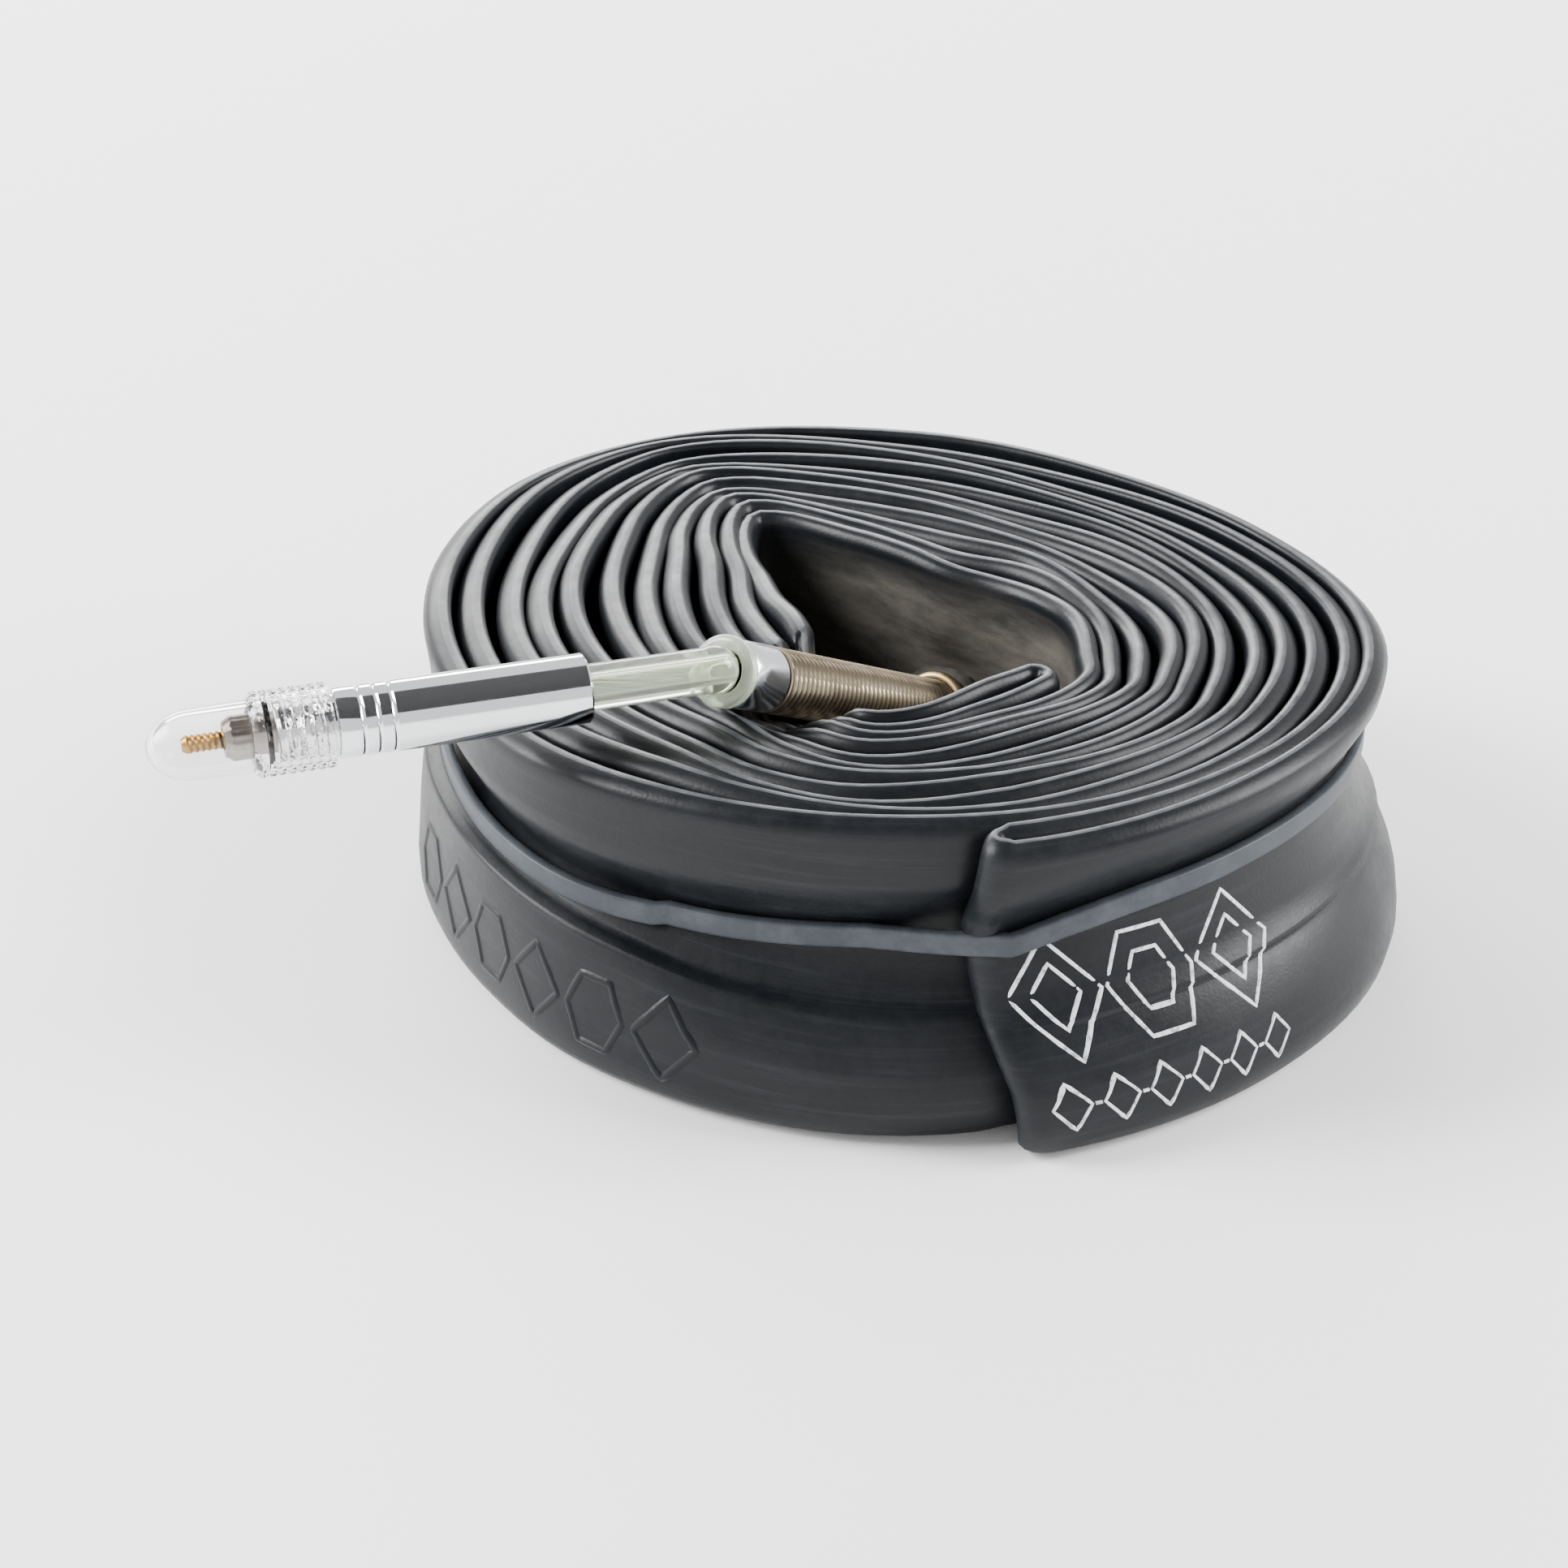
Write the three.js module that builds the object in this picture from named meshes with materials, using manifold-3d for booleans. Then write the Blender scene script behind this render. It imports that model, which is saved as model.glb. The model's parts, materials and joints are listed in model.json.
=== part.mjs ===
// A bicycle inner tube, flattened, doubled and rolled up for storage, held by an elastic band.
// Its valve stem leaves the hollow of the roll and carries a swivelling, tilting valve barrel.
// Millimetres, +Z up. The origin is the centre of the base of the whole object's box.

import * as THREE from 'three';
import { mergeVertices } from 'three/addons/utils/BufferGeometryUtils.js';
import Module from 'manifold-3d';

const wasm = await Module();
wasm.setup();

// ---- driving dimensions ----
const TUBE_WIDTH = 29;          // flat width of the tube, which is the height of the roll
const ROLL_CENTRE = [-0.9, 4.2];
const ROLL_SIDES = 96;
const ROLL_STEPS = 11;
const FOLD_ANGLE = 283;         // degrees, where the outer end of the doubled tube shows as a fold
const FOLD_STEP = 3.6;          // depth of the step there
const FOLD_RAMP = 62;           // degrees over which the roll swells up to the fold
const WAIST_HEIGHT = 18.7;      // where the band grips the roll

const BAND_HEIGHT = 2.1;
const BAND_THICKNESS = 1.0;

const GAP = 0.3;                // clearance between pieces that touch
const SMALL_GAP = 0.15;         // clearance inside the valve
const VALVE_RADIUS = 3.0;       // outside of the 6 mm valve stem and barrel
const STEM_BASE = [2.4, 10.6, 14.5];
const STEM_DIRECTION = [-0.477, -0.736, 0.478];
const STEM_LENGTH = 31.8;
const TROUGH_START = 13;        // along the stem, where it starts to cross the roll's top
const COLLAR_START = STEM_LENGTH + GAP;
const COLLAR_END = 37.5;
const RING_END = 38.9;
const BALL_AT = 39.9;           // ball centre, along the stem from the tube's wall
const BALL_RADIUS = 2.15;
const BARREL_DIRECTION = [-0.939, -0.343, 0];
const LINK_RADIUS = 2.0;
const LINK_LENGTH = 14.4;
const BARREL_START = 11.2;      // all of these are measured from the ball centre
const BARREL_END = 32.6;
const CAP_THREAD_END = 37.6;
const CORE_START = 22.4;
const CORE_END = 39.1;
const NUT_END = 41.7;
const PIN_END = 45.1;
const PIN_RADIUS = 0.8;
const CAP_END = 48.0;
const SIDES = 24;

// ---- materials ----
function finish(colour, roughness, metalness) {
  return new THREE.MeshStandardMaterial({ color: colour, roughness: roughness, metalness: metalness });
}

const RUBBER = finish(0x34363a, 0.62, 0);
const BAND_RUBBER = finish(0x5d6268, 0.6, 0);
const SEAL_RUBBER = finish(0x2a2c2a, 0.55, 0);
const NICKEL = finish(0x9c8b7a, 0.38, 1);
const BRASS = finish(0xb58a45, 0.35, 1);
const CHROME = finish(0xd8dbdd, 0.08, 1);
const CLEAR_PLASTIC = finish(0xe4ecdc, 0.12, 0);

// ---- helpers ----
function toSolid(geometry) {
  const bare = geometry.clone();
  bare.deleteAttribute('normal');
  bare.deleteAttribute('uv');
  const merged = mergeVertices(bare, 1e-4);
  return new wasm.Manifold(new wasm.Mesh({
    numProp: 3,
    vertProperties: new Float32Array(merged.attributes.position.array),
    triVerts: new Uint32Array(merged.index.array),
  }));
}

function toGeometry(solid) {
  const mesh = solid.getMesh();
  const geometry = new THREE.BufferGeometry();
  geometry.setAttribute('position', new THREE.BufferAttribute(mesh.vertProperties, 3));
  geometry.setIndex(new THREE.BufferAttribute(mesh.triVerts, 1));
  return geometry;
}

function addPiece(parent, name, geometry, material) {
  const piece = new THREE.Mesh(geometry, material);
  piece.name = name;
  parent.add(piece);
  return piece;
}

// A turned piece about +Y. The profile lists [radius, height] and closes on itself.
function turned(profile, sides = SIDES) {
  const points = profile.map(([radius, height]) => new THREE.Vector2(radius, height));
  const closed = profile[0][0] > 0 || profile[profile.length - 1][0] > 0;
  if (closed) {
    points.push(points[0].clone());
  }
  return new THREE.LatheGeometry(points, sides);
}

// A plain sleeve between two radii and two heights.
function sleeve(inner, outer, low, high, sides = SIDES) {
  return turned([[inner, low], [outer, low], [outer, high], [inner, high]], sides);
}

// A group whose +Y runs along a direction from a point.
function alongAxis(point, direction) {
  const group = new THREE.Group();
  const unit = new THREE.Vector3(...direction).normalize();
  group.position.set(...point);
  group.quaternion.setFromUnitVectors(new THREE.Vector3(0, 1, 0), unit);
  return group;
}

// ---- the roll's plan ----
// The roll is a loose oval, so its outside is a smooth closed curve through these angle, radius pairs.
const ROLL_OUTLINE = [
  [0, 44.0], [30, 40.4], [60, 39.0], [90, 42.8], [118, 48.3], [140, 49.1], [165, 46.3],
  [195, 44.3], [225, 43.6], [255, 43.8], [285, 44.4], [315, 44.3], [340, 44.8],
];

// How far the foot of the roll stands out, all the way round.
const FLARE_TABLE = [
  [0, 3.0], [30, 1.8], [90, 1.2], [150, 1.5], [185, 1.7], [210, 1.2], [232, 2.4],
  [250, 3.6], [270, 4.6], [291, 4.6], [322, 4.5], [345, 4.0], [360, 3.0],
];

// The hollow that the valve stands in is a teardrop with its point at the back left.
const HOLLOW_OUTLINE = [
  [-15.2, 25.6], [-9.2, 20.9], [0, 15.0], [9.4, 9.2], [15.2, 1.5], [14.6, -7.2],
  [7.2, -13.8], [-3, -18.4], [-10.5, -19.2], [-9.5, -12], [-8.2, -5.5], [-12.2, 5.0], [-16.8, 20],
];

function closedCurve(points) {
  const corners = points.map(([x, y]) => new THREE.Vector3(x, y, 0));
  return new THREE.CatmullRomCurve3(corners, true, 'centripetal');
}

function outlinePoint([degrees, radius]) {
  const angle = THREE.MathUtils.degToRad(degrees);
  return [ROLL_CENTRE[0] + radius * Math.cos(angle), ROLL_CENTRE[1] + radius * Math.sin(angle)];
}

// How far the roll's outside stands in at an angle, for the swelling that ends at the fold.
function foldInset(x, y) {
  const degrees = THREE.MathUtils.radToDeg(Math.atan2(y - ROLL_CENTRE[1], x - ROLL_CENTRE[0]));
  const before = THREE.MathUtils.euclideanModulo(FOLD_ANGLE - degrees, 360);
  return FOLD_STEP * (1 - THREE.MathUtils.smoothstep(before, 0, FOLD_RAMP));
}

// How far the roll's outside stands out at a height: first the band's waist and the round top edge,
// then the share of the flare that the foot has there.
const WAIST_PROFILE = [
  [13, 0], [16.5, -1.1], [WAIST_HEIGHT, -1.7], [21, -1.2], [24.5, 0.1], [28, 0.1], [TUBE_WIDTH, -0.9],
];
const FOOT_PROFILE = [[0, 0.5], [0.8, 0.85], [3.5, 1], [8, 0.85], [11.5, 0.45], [14, 0]];

function alongTable(table, height) {
  for (let i = 1; i < table.length; i += 1) {
    const [low, from] = table[i - 1];
    const [high, to] = table[i];
    if (height <= high) {
      return THREE.MathUtils.mapLinear(Math.max(height, low), low, high, from, to);
    }
  }
  return table[table.length - 1][1];
}

function wallOffset(height, angle) {
  const degrees = (THREE.MathUtils.radToDeg(angle) + 360) % 360;
  const flare = alongTable(FLARE_TABLE, degrees);
  return alongTable(WAIST_PROFILE, height) + alongTable(FOOT_PROFILE, height) * flare;
}

// The roll's outside moved straight away from its centre by an offset.
function rollPoints(sides, offset) {
  const curve = closedCurve(ROLL_OUTLINE.map(outlinePoint));
  return curve.getSpacedPoints(sides).slice(0, sides).map((point) => {
    const x = point.x - ROLL_CENTRE[0];
    const y = point.y - ROLL_CENTRE[1];
    const scale = 1 + offset(point.x, point.y) / Math.hypot(x, y);
    return new THREE.Vector2(ROLL_CENTRE[0] + x * scale, ROLL_CENTRE[1] + y * scale);
  });
}

// ---- the rolled tube ----
function rolledBody() {
  const shape = new THREE.Shape(rollPoints(ROLL_SIDES, (x, y) => -foldInset(x, y)));
  const hollow = closedCurve(HOLLOW_OUTLINE).getSpacedPoints(64).slice(0, 64);
  shape.holes.push(new THREE.Path(hollow.map((point) => new THREE.Vector2(point.x, point.y))));
  const geometry = new THREE.ExtrudeGeometry(shape, {
    depth: TUBE_WIDTH,
    steps: ROLL_STEPS,
    bevelEnabled: false,
  });
  const position = geometry.attributes.position;
  for (let i = 0; i < position.count; i += 1) {
    const x = position.getX(i) - ROLL_CENTRE[0];
    const y = position.getY(i) - ROLL_CENTRE[1];
    const radius = Math.hypot(x, y);
    const share = THREE.MathUtils.smoothstep(radius, 30, 34);
    const scale = 1 + share * wallOffset(position.getZ(i), Math.atan2(y, x)) / radius;
    position.setXY(i, ROLL_CENTRE[0] + x * scale, ROLL_CENTRE[1] + y * scale);
  }
  return toSolid(geometry);
}

// A turned piece on the stem's axis, moved to its place, as a solid to join or cut with.
function stemSolid(geometry) {
  const place = alongAxis(STEM_BASE, STEM_DIRECTION);
  place.updateMatrixWorld();
  return toSolid(geometry.applyMatrix4(place.matrixWorld));
}

// The trough in the roll's top that the stem presses in as it leaves the hollow.
function stemTrough() {
  const radius = VALVE_RADIUS + 2 * GAP;
  const shape = new THREE.Shape();
  shape.absarc(0, 0, radius, 0, Math.PI, true);
  shape.lineTo(-radius, 16);
  shape.lineTo(radius, 16);
  shape.closePath();
  const geometry = new THREE.ExtrudeGeometry(shape, { depth: 32, bevelEnabled: false, curveSegments: 8 });
  geometry.translate(0, 0, TROUGH_START);
  const along = new THREE.Vector3(...STEM_DIRECTION).normalize();
  const across = new THREE.Vector3().crossVectors(new THREE.Vector3(0, 0, 1), along).normalize();
  const up = new THREE.Vector3().crossVectors(along, across);
  const turn = new THREE.Matrix4().makeBasis(across, up, along);
  turn.setPosition(...STEM_BASE);
  return toSolid(geometry.applyMatrix4(turn));
}

function addTube(parent) {
  const root = stemSolid(new THREE.CylinderGeometry(7.2, 8.4, 10, 32).translate(0, -6.5, 0));
  const pocket = stemSolid(new THREE.CylinderGeometry(4.4, 4.4, 6, 32));
  const recess = stemSolid(new THREE.CylinderGeometry(7.0, 7.0, 6, 32).translate(0, 1.5, 0));
  const body = rolledBody().add(root).subtract(pocket).subtract(recess).subtract(stemTrough());
  addPiece(parent, 'rubber_tube', toGeometry(body), RUBBER);
}

// ---- the elastic band round the waist ----
function addBand(parent) {
  const inside = wallOffset(WAIST_HEIGHT - BAND_HEIGHT / 2, 0) + GAP;
  const shape = new THREE.Shape(rollPoints(80, () => inside + BAND_THICKNESS));
  shape.holes.push(new THREE.Path(rollPoints(80, () => inside)));
  const geometry = new THREE.ExtrudeGeometry(shape, { depth: BAND_HEIGHT, bevelEnabled: false });
  geometry.translate(0, 0, WAIST_HEIGHT - BAND_HEIGHT / 2);
  addPiece(parent, 'elastic_band', geometry, BAND_RUBBER);
}

// ---- the stem and what holds it in the tube's wall ----
function addStem(parent) {
  const spigot = 2.25;
  addPiece(parent, 'threaded_stem', turned([
    [1.2, -2.7], [4.0, -2.7], [4.0, -1.7], [VALVE_RADIUS, -1.7], [VALVE_RADIUS, STEM_LENGTH],
    [spigot, STEM_LENGTH], [spigot, 33], [1.7, 33], [1.7, 34], [spigot, 34], [spigot, 34.9], [1.2, 34.9],
  ]), NICKEL);
  const innerRadius = VALVE_RADIUS + GAP;
  addPiece(parent, 'valve_patch', sleeve(innerRadius, 6.6, -1.2, -0.2), RUBBER);
  addPiece(parent, 'base_washer', sleeve(innerRadius, 4.1, 0.1, 1.0), BRASS);
  addPiece(parent, 'collar_seal', sleeve(1.85, 2.4, 33.15, 33.85), SEAL_RUBBER);
}

// ---- the swivel: a collar on the stem's end, and the clear ring that closes its socket ----
function addSwivel(parent) {
  const bore = 2.55;
  addPiece(parent, 'swivel_collar', turned([
    [bore, COLLAR_START], [VALVE_RADIUS, COLLAR_START], [VALVE_RADIUS, COLLAR_END - 0.2],
    [VALVE_RADIUS - 0.15, COLLAR_END], [bore, COLLAR_END],
  ]), CHROME);
  addPiece(parent, 'socket_ring', turned([
    [2.2, COLLAR_END + SMALL_GAP], [3.1, COLLAR_END + SMALL_GAP], [3.2, COLLAR_END + 0.5],
    [3.2, RING_END - 0.3], [2.95, RING_END], [2.55, RING_END],
  ]), CLEAR_PLASTIC);
}

// ---- the clear link between the ball socket and the barrel ----
function addLink(parent) {
  const bore = 0.9;
  const profile = [[bore, LINK_LENGTH], [bore, -Math.sqrt(BALL_RADIUS ** 2 - bore ** 2)]];
  const start = Math.asin(bore / BALL_RADIUS);
  const end = Math.PI - Math.asin(LINK_RADIUS / BALL_RADIUS);
  for (let i = 1; i <= 8; i += 1) {
    const angle = start + (end - start) * i / 8;
    profile.push([BALL_RADIUS * Math.sin(angle), -BALL_RADIUS * Math.cos(angle)]);
  }
  profile.push([LINK_RADIUS, 12.6], [1.6, 12.6], [1.6, 13.6], [LINK_RADIUS, 13.6], [LINK_RADIUS, LINK_LENGTH]);
  addPiece(parent, 'swivel_link', turned(profile), CLEAR_PLASTIC);
  addPiece(parent, 'link_seal', sleeve(1.75, 2.2, 12.75, 13.45), SEAL_RUBBER);
}

// ---- the barrel, with three grip grooves and the cap's thread ----
function addBarrel(parent) {
  const threadRadius = 2.6;
  const profile = [[2.3, BARREL_START], [VALVE_RADIUS - 0.2, BARREL_START], [VALVE_RADIUS, BARREL_START + 0.3]];
  for (let i = 0; i < 3; i += 1) {
    const at = BARREL_END - 4.9 + i * 1.3;
    profile.push([VALVE_RADIUS, at], [VALVE_RADIUS - 0.25, at + 0.2]);
    profile.push([VALVE_RADIUS - 0.25, at + 0.5], [VALVE_RADIUS, at + 0.7]);
  }
  profile.push([VALVE_RADIUS, BARREL_END - 0.2], [VALVE_RADIUS - 0.15, BARREL_END]);
  for (let at = BARREL_END; at < CAP_THREAD_END - 0.9; at += 1.0) {
    profile.push([threadRadius - 0.3, at], [threadRadius, at + 0.35], [threadRadius, at + 0.65]);
  }
  profile.push([threadRadius - 0.3, CAP_THREAD_END], [2.0, CAP_THREAD_END], [2.0, 18], [1.2, 18]);
  profile.push([1.2, 15.6], [2.3, 15.6]);
  addPiece(parent, 'barrel', turned(profile), CHROME);
}

// ---- the valve core ----
function addCore(parent) {
  const bore = PIN_RADIUS + SMALL_GAP;
  addPiece(parent, 'core_body', turned([
    [bore, CORE_START], [1.7, CORE_START], [1.7, 24], [1.2, 24], [1.2, 25], [1.7, 25],
    [1.7, CORE_END - 0.2], [1.5, CORE_END], [bore, CORE_END],
  ]), NICKEL);
  addPiece(parent, 'core_gasket', sleeve(1.35, 1.85, SMALL_GAP + 24, 25 - SMALL_GAP), SEAL_RUBBER);
}

function addPin(parent) {
  addPiece(parent, 'core_pin', turned([
    [0, 20], [PIN_RADIUS - 0.1, 20], [PIN_RADIUS, 20.2], [PIN_RADIUS, PIN_END - 0.4],
    [PIN_RADIUS - 0.3, PIN_END], [0, PIN_END],
  ], 16), BRASS);
  const inner = PIN_RADIUS + SMALL_GAP;
  addPiece(parent, 'core_seal', sleeve(inner, 1.6, 21.45, CORE_START - SMALL_GAP, 20), SEAL_RUBBER);
  addPiece(parent, 'seal_cup', sleeve(inner, 1.45, 20.4, 21.3, 20), BRASS);
}

function addLockNut(parent) {
  const inner = PIN_RADIUS + SMALL_GAP;
  addPiece(parent, 'lock_nut', turned([
    [inner, CORE_END + SMALL_GAP], [1.75, CORE_END + SMALL_GAP], [1.9, CORE_END + 0.4],
    [1.9, NUT_END - 0.6], [1.45, NUT_END], [inner, NUT_END],
  ]), NICKEL);
}

// ---- the dust cap: a ribbed grip, then a narrower domed end, all one thin shell ----
function addDustCap(parent) {
  const mouth = BARREL_END + GAP;
  const gripEnd = 39.4;
  const outer = 2.95;
  const wall = 0.6;
  const profile = [[2.9, mouth], [3.5, mouth], [3.6, mouth + 0.3], [3.6, gripEnd - 0.3], [outer + 0.2, gripEnd]];
  const domeAt = CAP_END - outer * 1.25;
  for (let i = 0; i <= 8; i += 1) {
    const angle = Math.PI / 2 * i / 8;
    profile.push([outer * Math.cos(angle), domeAt + outer * 1.25 * Math.sin(angle)]);
  }
  const inside = outer - wall;
  for (let i = 8; i >= 0; i -= 1) {
    const angle = Math.PI / 2 * i / 8;
    profile.push([inside * Math.cos(angle), domeAt + (outer * 1.25 - wall) * Math.sin(angle)]);
  }
  profile.push([inside, gripEnd - 1], [2.9, gripEnd - 1.4]);
  profile[13][0] = 0;
  profile[14][0] = 0;
  addPiece(parent, 'dust_cap', turned(profile), CLEAR_PLASTIC);
}

// ---- assembly ----
const roll = new THREE.Group();
addTube(roll);
addBand(roll);

const stem = alongAxis(STEM_BASE, STEM_DIRECTION);
addStem(stem);
addSwivel(stem);

const ballCentre = new THREE.Vector3(...STEM_DIRECTION).normalize().multiplyScalar(BALL_AT);
ballCentre.add(new THREE.Vector3(...STEM_BASE));
const valve = alongAxis(ballCentre.toArray(), BARREL_DIRECTION);
addLink(valve);
addBarrel(valve);
addCore(valve);
addPin(valve);
addLockNut(valve);
addDustCap(valve);

const group = new THREE.Group();
group.add(roll, stem, valve);
const box = new THREE.Box3().setFromObject(group, true);
const middle = box.getCenter(new THREE.Vector3());
group.position.set(-middle.x, -middle.y, -box.min.z);

export default group;
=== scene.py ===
import json
import math

import bmesh
import bpy
from mathutils import Matrix, Vector


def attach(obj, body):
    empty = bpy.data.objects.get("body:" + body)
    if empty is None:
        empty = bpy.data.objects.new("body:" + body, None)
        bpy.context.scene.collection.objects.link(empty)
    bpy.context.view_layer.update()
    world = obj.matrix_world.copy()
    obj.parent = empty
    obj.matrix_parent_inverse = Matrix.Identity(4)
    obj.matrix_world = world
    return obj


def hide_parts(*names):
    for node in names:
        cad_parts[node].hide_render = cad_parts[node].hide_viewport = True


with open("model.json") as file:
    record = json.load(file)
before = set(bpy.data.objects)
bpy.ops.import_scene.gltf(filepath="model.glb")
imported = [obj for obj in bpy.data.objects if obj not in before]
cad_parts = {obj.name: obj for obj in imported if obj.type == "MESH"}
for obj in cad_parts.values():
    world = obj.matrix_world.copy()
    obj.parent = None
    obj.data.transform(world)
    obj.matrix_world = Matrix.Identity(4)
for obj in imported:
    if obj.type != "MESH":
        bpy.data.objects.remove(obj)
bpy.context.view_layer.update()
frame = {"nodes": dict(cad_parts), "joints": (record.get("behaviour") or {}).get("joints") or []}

MM = 0.001

# ---------------------------------------------------------------- the studio
# A white seamless floor under softboxes, with the camera in front of the roll and above it.
# A dark card stands to one side, so that the bright metal has something dark to show.


def joint_named(name):
    return next(joint for joint in frame["joints"] if joint["name"] == name)


STEM_AXIS = -Vector(joint_named("collar_swivel")["axis"]).normalized()
BALL_CENTRE = Vector(joint_named("link_tilt")["pos_m"])
BALL_AT = 39.9 * MM             # the ball's centre, along the stem from the tube's wall
STEM_BASE = BALL_CENTRE - STEM_AXIS * BALL_AT
ROLL_CENTRE = STEM_BASE + Vector((-3.3, -6.4, 0)) * MM      # the middle of the roll, on the floor
ROLL_CENTRE.z = 0


def add_node(tree, kind, **inputs):
    """A node with some of its inputs set: a value, or a socket to link from."""
    node = tree.nodes.new(kind)
    for name, value in inputs.items():
        link_or_set(tree, node.inputs[name.replace("_", " ")], value)
    return node


def link_or_set(tree, socket, value):
    if isinstance(value, bpy.types.NodeSocket):
        tree.links.new(value, socket)
    else:
        socket.default_value = value


def new_finish(name):
    """A new material with its node tree and its shader."""
    material = bpy.data.materials.new(name)
    material.use_nodes = True
    return material, material.node_tree, material.node_tree.nodes["Principled BSDF"]


def add_object(name, shape, material, crisp=math.radians(40)):
    """The finished bmesh becomes an object at the origin, smooth but for edges sharper than crisp."""
    for edge in shape.edges:
        edge.smooth = len(edge.link_faces) != 2 or edge.calc_face_angle() < crisp
    for face in shape.faces:
        face.smooth = True
    mesh = bpy.data.meshes.new(name)
    shape.to_mesh(mesh)
    shape.free()
    mesh.materials.append(material)
    piece = bpy.data.objects.new(name, mesh)
    bpy.context.scene.collection.objects.link(piece)
    return piece


def add_camera():
    lens = bpy.data.cameras.new("camera")
    lens.sensor_width = 36
    lens.lens = 68.8
    lens.clip_start = 0.01
    camera = bpy.data.objects.new("camera", lens)
    camera.location = ROLL_CENTRE + Vector((0.9, -249.7, 150.6)) * MM
    camera.rotation_euler = (math.radians(60.57), 0, math.radians(2.70))
    bpy.context.scene.collection.objects.link(camera)
    bpy.context.scene.camera = camera


def add_softbox(name, place, size, power):
    lamp = bpy.data.lights.new(name, "AREA")
    lamp.shape = "RECTANGLE"
    lamp.size, lamp.size_y = size
    lamp.energy = power
    softbox = bpy.data.objects.new(name, lamp)
    softbox.location = ROLL_CENTRE + Vector(place)
    softbox.rotation_euler = Vector(place).to_track_quat("Z", "Y").to_euler()
    bpy.context.scene.collection.objects.link(softbox)


def add_paper(name, colour, size, matrix):
    material, tree, shader = new_finish(name)
    shader.inputs["Base Color"].default_value = (*colour, 1)
    shader.inputs["Roughness"].default_value = 0.9
    sheet = bmesh.new()
    bmesh.ops.create_grid(sheet, x_segments=1, y_segments=1, size=size)
    bmesh.ops.transform(sheet, matrix=matrix, verts=sheet.verts)
    paper = add_object(name, sheet, material)


def add_world():
    world = bpy.data.worlds.new("studio")
    world.use_nodes = True
    world.node_tree.nodes["Background"].inputs["Color"].default_value = (1, 1, 1, 1)
    world.node_tree.nodes["Background"].inputs["Strength"].default_value = 1.35
    bpy.context.scene.world = world


add_camera()
add_paper("studio_floor", (1.0, 1.0, 1.0), 2.5, Matrix.Identity(4))
card_place = Matrix.Translation(ROLL_CENTRE + Vector((0, -0.33, 0.62)))
add_paper("studio_dark_card", (0.02, 0.02, 0.02), 0.5, card_place)
add_world()
add_softbox("softbox_back", (-0.30, 1.00, 0.42), (1.0, 0.25), 16)
add_softbox("softbox_left", (-0.90, 0.00, 0.55), (0.5, 0.7), 30)
add_softbox("softbox_right", (0.95, 0.05, 0.55), (0.5, 0.7), 24)


# ---------------------------------------------------------------- the rubber tube
# One endless butyl tube, pressed flat, doubled and wound up. Its outer end shows as a fold at the
# front, and its inner end loops round the hollow that the valve stands in. It is dull with bloom.

TUBE_WIDTH = 29.0 * MM
WALL_MIDDLE = 0.95 * MM         # half the thickness of the flat tube between its edges
FOLD_ANGLE = math.radians(283)
INNER_FOLD = math.radians(30)   # how far past the outer fold's angle the inner fold lies
DOUBLE_TURNS = 5

ROLL_OUTLINE = [
    (0, 44.0), (30, 40.4), (60, 39.0), (90, 42.8), (118, 48.3), (140, 49.1), (165, 46.3),
    (195, 44.3), (225, 43.6), (255, 43.8), (283, 44.4), (315, 44.3), (340, 44.8),
]
HOLLOW_OUTLINE = [
    (15, 10.9), (45, 8.9), (70, 8.3), (90, 10.4), (105, 14.2), (113, 17.8), (119, 21.4), (125, 23.4),
    (132, 21.0), (141, 16.8), (153, 12.2), (172, 9.6), (192, 8.7), (215, 9.6), (236, 12.4), (250, 18.5),
    (265, 22.0), (294, 19.4), (324, 18.6), (335, 16.4), (355, 13.6),
]
# Degrees round the roll with millimetres: how far its foot stands out, how high the crease and
# the band lie on it, and how far the crease's lip stands out.
FLARE_TABLE = [
    (0, 3.0), (30, 1.8), (90, 1.2), (150, 1.5), (185, 2.3), (200, 1.7), (215, 1.6), (232, 3.0), (250, 4.2),
    (270, 5.0), (291, 4.5), (322, 4.3), (345, 3.8),
]
CREASE_TABLE = [
    (0, 12.3), (90, 13.0), (180, 14.6), (203, 14.8), (218, 14.3), (235, 13.4), (251, 12.2), (281, 11.2),
    (300, 12.0), (348, 12.3),
]
LIP_TABLE = [
    (0, -0.55), (45, -0.2), (100, 0.5), (190, 1.1), (218, 1.25), (251, 0.95), (270, 0.6), (281, 0.2),
    (290, -0.2), (300, -0.25), (322, -0.35), (345, -0.55),
]
BAND_TABLE = [
    (0, 20.4), (60, 19.2), (120, 18.6), (180, 17.8), (199, 17.1), (226, 16.0), (245, 16.4), (260, 17.1),
    (280, 18.0), (290, 19.8), (300, 20.8), (322, 21.1), (344, 20.8),
]
# How far the fold's end lies past its top, by height.
LEAN_PROFILE = [(0, 3.0), (6, 2.2), (12, 0.0), (18.7, -1.4), (24, -0.7), (29, 0)]

# The heights of the rows up one side of the flat tube: up to the crease, over it, and on to the top.
ROWS_BELOW = [0, 0.002, 0.01, 0.03, 0.06, 0.11, 0.18, 0.27, 0.37, 0.48, 0.6, 0.72, 0.83, 0.92, 1]
ROWS_ACROSS = [-0.35, -0.15, 0.05, 0.25, 0.5, 0.9]
ROWS_ABOVE = [
    0.06, 0.13, 0.21, 0.3, 0.39, 0.48, 0.57, 0.66, 0.75, 0.83, 0.89, 0.935, 0.965, 0.985, 0.996, 1,
]
SECTION_HALF = len(ROWS_BELOW) + len(ROWS_ACROSS) + len(ROWS_ABOVE) - 1


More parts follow.
